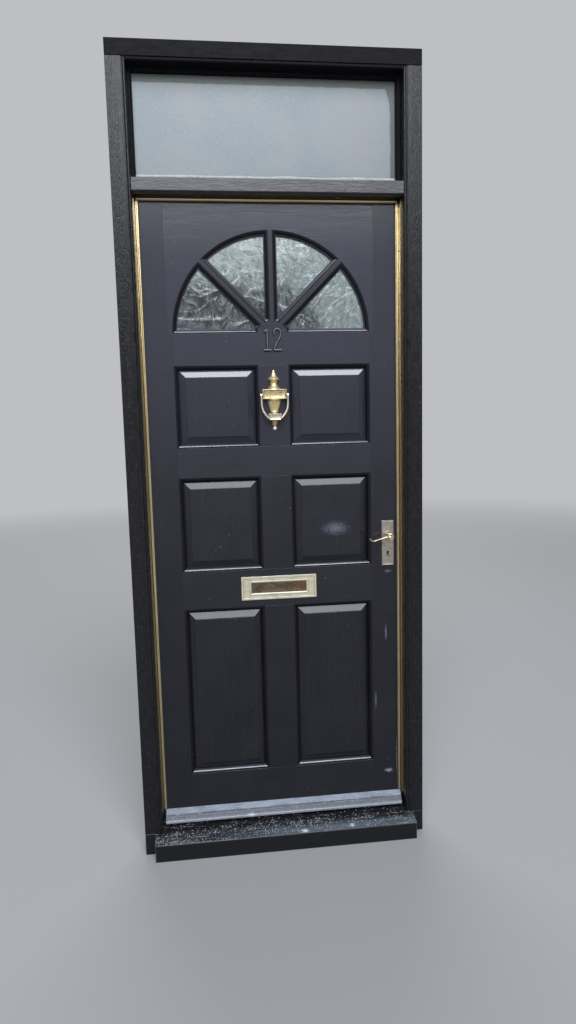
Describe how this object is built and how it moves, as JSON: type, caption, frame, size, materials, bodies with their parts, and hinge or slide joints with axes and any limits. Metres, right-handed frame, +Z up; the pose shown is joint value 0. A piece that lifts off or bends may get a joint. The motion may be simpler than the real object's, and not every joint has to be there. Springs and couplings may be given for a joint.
{
  "type": "panelled front door",
  "caption": "House entrance door in its timber frame: raised-and-fielded panels, half-round sunburst fanlight, obscure toplight, urn knocker, letter plate and lever handles.",
  "frame": {"origin": "on the underside of the sill, on the frame's centre line, below the outer face of the closed leaf", "axes": "+Z up, +X to the right as seen from outside, +Y through the doorway into the house"},
  "size_m": [0.924, 0.195, 2.47],
  "materials": {
    "leaf_paint": "charcoal-black satin paint on timber",
    "frame_paint": "thick black gloss paint on timber",
    "sill_paint": "black paint worn to grey on timber",
    "board_paint": "grey-black paint, scuffed",
    "fan_glass": "obscure rolled glass",
    "toplight_glass": "frosted glass",
    "gold_strip": "gold anodised",
    "rubber": "dark weather strip",
    "hinge_metal": "zinc plated",
    "lock_metal": "plated steel",
    "plate_brass": "satin, tarnished",
    "knocker_brass": "aged",
    "handle_brass": "tarnished"
  },
  "bodies": {
    "frame": {"sill": "sill_paint", "left_jamb": "frame_paint", "right_jamb": "frame_paint", "head": "frame_paint", "transom": "frame_paint", "toplight_glass": "toplight_glass", "toplight_cover_beads": "frame_paint", "toplight_glazing_beads": "frame_paint", "left_seal_strip": "gold_strip", "right_seal_strip": "gold_strip", "top_seal_strip": "gold_strip", "seal_gaskets": "rubber", "hinge_frame_leaves": "hinge_metal", "hinge_pins": "hinge_metal", "keep_plate": "lock_metal"},
    "leaf": {"hinge_stile": "leaf_paint", "lock_stile": "leaf_paint", "bottom_rail": "leaf_paint", "middle_rail": "leaf_paint", "upper_rail": "leaf_paint", "fan_rail": "leaf_paint", "top_rail": "leaf_paint", "lower_muntin": "leaf_paint", "middle_muntin": "leaf_paint", "upper_muntin": "leaf_paint", "upper_left_panel": "leaf_paint", "upper_right_panel": "leaf_paint", "middle_left_panel": "leaf_paint", "middle_right_panel": "leaf_paint", "lower_left_panel": "leaf_paint", "lower_right_panel": "leaf_paint", "fan_hub": "leaf_paint", "right_fan_bar": "leaf_paint", "centre_fan_bar": "leaf_paint", "left_fan_bar": "leaf_paint", "fan_glass": "fan_glass", "fan_beads": "leaf_paint", "weatherboard": "board_paint", "letter_plate": "plate_brass", "letter_plate_bolts": "plate_brass", "flap_pin": "plate_brass", "knocker_urn": "knocker_brass", "knocker_bolts": "knocker_brass", "knocker_pins": "knocker_brass", "lock_case": "lock_metal", "outside_handle_plate": "handle_brass", "inside_handle_plate": "handle_brass", "hinge_door_leaves": "hinge_metal"},
    "letter_flap": {"letter_flap": "plate_brass"},
    "knocker_ring": {"knocker_ring": "knocker_brass"},
    "handle": {"outside_lever": "handle_brass", "inside_lever": "handle_brass", "spindle": "lock_metal", "follower": "lock_metal"},
    "latch": {"latch_bolt": "lock_metal"},
    "dead_bolt": {"dead_bolt": "lock_metal"}
  },
  "joints": [
    {"name": "door_swing", "type": "hinge", "parent": "frame", "child": "leaf", "pos_m": [-0.4205, 0.0496, 1.1315], "axis": [0, 0, 1], "range_deg": [0, 100]},
    {"name": "lever_turn", "type": "hinge", "parent": "leaf", "child": "handle", "pos_m": [0.362, 0.022, 1.009], "axis": [0, -1, 0], "range_deg": [0, 35], "stiffness_Nm_per_rad": 1.2, "springref_deg": -20.05},
    {"name": "latch_slide", "type": "slide", "parent": "leaf", "child": "latch", "axis": [-1, 0, 0], "range_m": [0, 0.012]},
    {"name": "dead_bolt_slide", "type": "slide", "parent": "leaf", "child": "dead_bolt", "axis": [1, 0, 0], "range_m": [0, 0.02]},
    {"name": "flap_swing", "type": "hinge", "parent": "leaf", "child": "letter_flap", "pos_m": [0, 0.0039, 0.8746], "axis": [1, 0, 0], "range_deg": [0, 75], "stiffness_Nm_per_rad": 0.05, "springref_deg": -17.19},
    {"name": "knocker_swing", "type": "hinge", "parent": "leaf", "child": "knocker_ring", "pos_m": [0, -0.013, 1.467], "axis": [-1, 0, 0], "range_deg": [0, 95]}
  ],
  "couplings": [
    {"joint": "latch_slide", "follows": "lever_turn", "m_per_rad": 0.019644}
  ]
}
